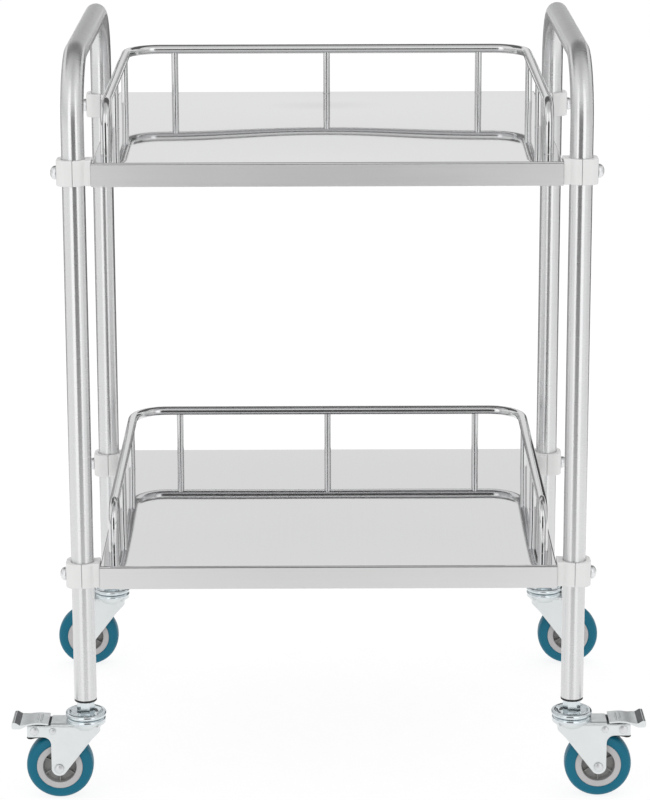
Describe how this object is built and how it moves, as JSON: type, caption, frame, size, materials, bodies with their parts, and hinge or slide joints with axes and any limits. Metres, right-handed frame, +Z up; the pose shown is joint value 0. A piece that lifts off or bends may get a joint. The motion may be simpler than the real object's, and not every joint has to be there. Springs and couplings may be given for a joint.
{
  "type": "instrument cart",
  "caption": "Rolling two-shelf stainless trolley with guard rails, push handles, plastic corner clamps and swivel casters, the front ones braked.",
  "frame": {"origin": "on the floor under the middle of the cart", "axes": "+Z up; the open front of the shelves faces -Y; +X is the right-hand side"},
  "size_m": [0.708, 0.47, 0.846],
  "materials": {
    "stainless_tube": "satin stainless tube with fine lengthwise polishing lines",
    "stainless_rod": "bright stainless rod",
    "polished_sheet": "polished stainless sheet with faint brush lines",
    "white_plastic": "moulded white plastic, semi-matt",
    "plated_bolt": "bright plated fastener",
    "black_plastic": "moulded black plastic",
    "zinc_steel": "bright zinc-plated pressed steel with a faint blue cast",
    "grey_plastic": "moulded grey nylon, semi-matt",
    "teal_polyurethane": "smooth teal polyurethane tread"
  },
  "bodies": {
    "frame": {"left_side_frame": "stainless_tube", "right_side_frame": "stainless_tube", "upper_shelf": "polished_sheet", "upper_guard_rail": "stainless_rod", "clamp_outer_upper_front_left": "white_plastic", "clamp_inner_upper_front_left": "white_plastic", "clamp_bolt_upper_front_left": "plated_bolt", "clamp_outer_upper_front_right": "white_plastic", "clamp_inner_upper_front_right": "white_plastic", "clamp_bolt_upper_front_right": "plated_bolt", "clamp_outer_upper_rear_left": "white_plastic", "clamp_inner_upper_rear_left": "white_plastic", "clamp_bolt_upper_rear_left": "plated_bolt", "clamp_outer_upper_rear_right": "white_plastic", "clamp_inner_upper_rear_right": "white_plastic", "clamp_bolt_upper_rear_right": "plated_bolt", "lower_shelf": "polished_sheet", "lower_guard_rail": "stainless_rod", "clamp_outer_lower_front_left": "white_plastic", "clamp_inner_lower_front_left": "white_plastic", "clamp_bolt_lower_front_left": "plated_bolt", "clamp_outer_lower_front_right": "white_plastic", "clamp_inner_lower_front_right": "white_plastic", "clamp_bolt_lower_front_right": "plated_bolt", "clamp_outer_lower_rear_left": "white_plastic", "clamp_inner_lower_rear_left": "white_plastic", "clamp_bolt_lower_rear_left": "plated_bolt", "clamp_outer_lower_rear_right": "white_plastic", "clamp_inner_lower_rear_right": "white_plastic", "clamp_bolt_lower_rear_right": "plated_bolt", "tube_plug_front_left": "black_plastic", "caster_stem_front_left": "zinc_steel", "tube_plug_front_right": "black_plastic", "caster_stem_front_right": "zinc_steel", "tube_plug_rear_left": "black_plastic", "caster_stem_rear_left": "zinc_steel", "tube_plug_rear_right": "black_plastic", "caster_stem_rear_right": "zinc_steel"},
    "caster_front_left": {"caster_fork_front_left": "zinc_steel", "wheel_axle_front_left": "plated_bolt", "brake_pivot_pin_front_left": "plated_bolt", "brake_stop_rivet_front_left": "plated_bolt"},
    "wheel_front_left": {"wheel_hub_front_left": "grey_plastic", "tyre_front_left": "teal_polyurethane"},
    "brake_front_left": {"brake_pedal_front_left": "zinc_steel"},
    "caster_front_right": {"caster_fork_front_right": "zinc_steel", "wheel_axle_front_right": "plated_bolt", "brake_pivot_pin_front_right": "plated_bolt", "brake_stop_rivet_front_right": "plated_bolt"},
    "wheel_front_right": {"wheel_hub_front_right": "grey_plastic", "tyre_front_right": "teal_polyurethane"},
    "brake_front_right": {"brake_pedal_front_right": "zinc_steel"},
    "caster_rear_left": {"caster_fork_rear_left": "zinc_steel", "wheel_axle_rear_left": "plated_bolt"},
    "wheel_rear_left": {"wheel_hub_rear_left": "grey_plastic", "tyre_rear_left": "teal_polyurethane"},
    "caster_rear_right": {"caster_fork_rear_right": "zinc_steel", "wheel_axle_rear_right": "plated_bolt"},
    "wheel_rear_right": {"wheel_hub_rear_right": "grey_plastic", "tyre_rear_right": "teal_polyurethane"}
  },
  "joints": [
    {"name": "swivel_front_left", "type": "hinge", "parent": "frame", "child": "caster_front_left", "pos_m": [-0.272, -0.212, 0.09], "axis": [0, 0, 1], "continuous": true},
    {"name": "roll_front_left", "type": "hinge", "parent": "caster_front_left", "child": "wheel_front_left", "pos_m": [-0.302, -0.212, 0.0375], "axis": [0, 1, 0], "continuous": true},
    {"name": "brake_tilt_front_left", "type": "hinge", "parent": "caster_front_left", "child": "brake_front_left", "pos_m": [-0.3086, -0.212, 0.082], "axis": [0, 1, 0], "range_deg": [0, 10]},
    {"name": "swivel_front_right", "type": "hinge", "parent": "frame", "child": "caster_front_right", "pos_m": [0.272, -0.212, 0.09], "axis": [0, 0, 1], "continuous": true},
    {"name": "roll_front_right", "type": "hinge", "parent": "caster_front_right", "child": "wheel_front_right", "pos_m": [0.302, -0.212, 0.0375], "axis": [0, 1, 0], "continuous": true},
    {"name": "brake_tilt_front_right", "type": "hinge", "parent": "caster_front_right", "child": "brake_front_right", "pos_m": [0.3086, -0.212, 0.082], "axis": [0, -1, 0], "range_deg": [0, 10]},
    {"name": "swivel_rear_left", "type": "hinge", "parent": "frame", "child": "caster_rear_left", "pos_m": [-0.272, 0.212, 0.09], "axis": [0, 0, 1], "continuous": true},
    {"name": "roll_rear_left", "type": "hinge", "parent": "caster_rear_left", "child": "wheel_rear_left", "pos_m": [-0.302, 0.212, 0.0375], "axis": [0, 1, 0], "continuous": true},
    {"name": "swivel_rear_right", "type": "hinge", "parent": "frame", "child": "caster_rear_right", "pos_m": [0.272, 0.212, 0.09], "axis": [0, 0, 1], "continuous": true},
    {"name": "roll_rear_right", "type": "hinge", "parent": "caster_rear_right", "child": "wheel_rear_right", "pos_m": [0.302, 0.212, 0.0375], "axis": [0, 1, 0], "continuous": true}
  ]
}
